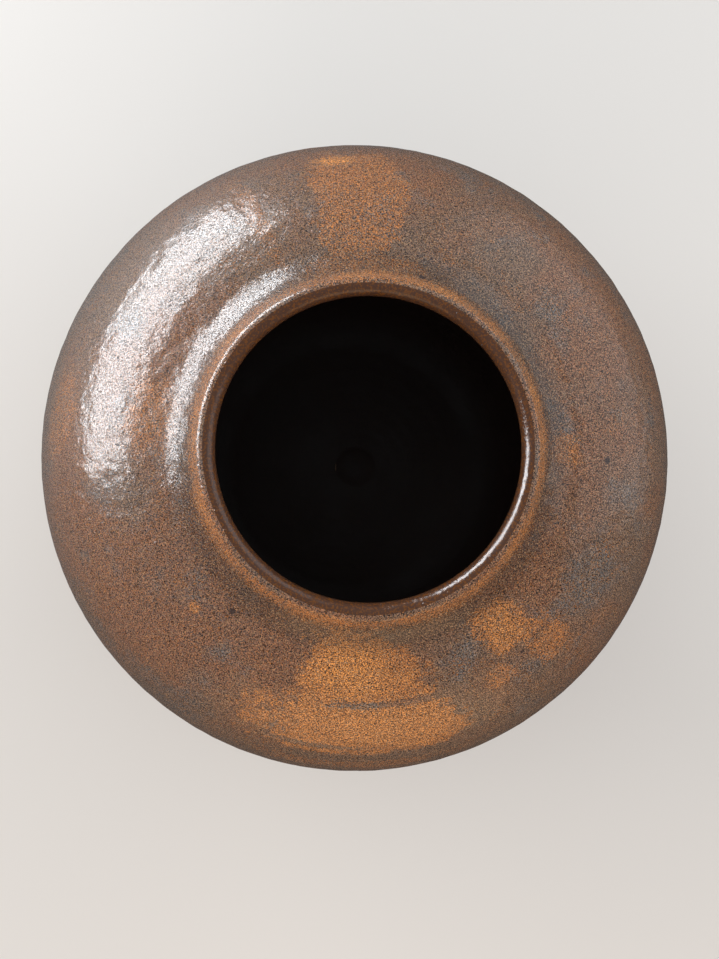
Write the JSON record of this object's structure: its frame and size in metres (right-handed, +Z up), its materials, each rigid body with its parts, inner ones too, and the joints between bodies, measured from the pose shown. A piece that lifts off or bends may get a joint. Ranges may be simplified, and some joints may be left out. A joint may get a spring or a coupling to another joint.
{
  "type": "vase",
  "caption": "Wide round stoneware vase with a short flared neck, rolled lip, turned foot ring and speckled brown iron glaze.",
  "frame": {"origin": "centre of the foot ring's resting plane", "axes": "+Z up along the vase's axis of rotation, from the foot to the mouth; +X and +Y are free, because the form is round"},
  "size_m": [0.204, 0.204, 0.168],
  "materials": {
    "bare_stoneware": "unglazed, fine sandy grain with turning marks",
    "joining_slip": "smooth fired slip, hidden in the seams",
    "iron_glaze": "satin, speckled brown with rust-orange breaks and gunmetal areas",
    "liner_glaze": "satin dark brown"
  },
  "bodies": {
    "root": {"foot_ring": "bare_stoneware", "foot_slip": "joining_slip", "lower_bowl": "bare_stoneware", "belly_slip": "joining_slip", "shoulder_dome": "bare_stoneware", "neck_slip": "joining_slip", "neck_collar": "bare_stoneware", "outer_glaze": "iron_glaze", "inner_glaze": "liner_glaze"}
  },
  "joints": []
}
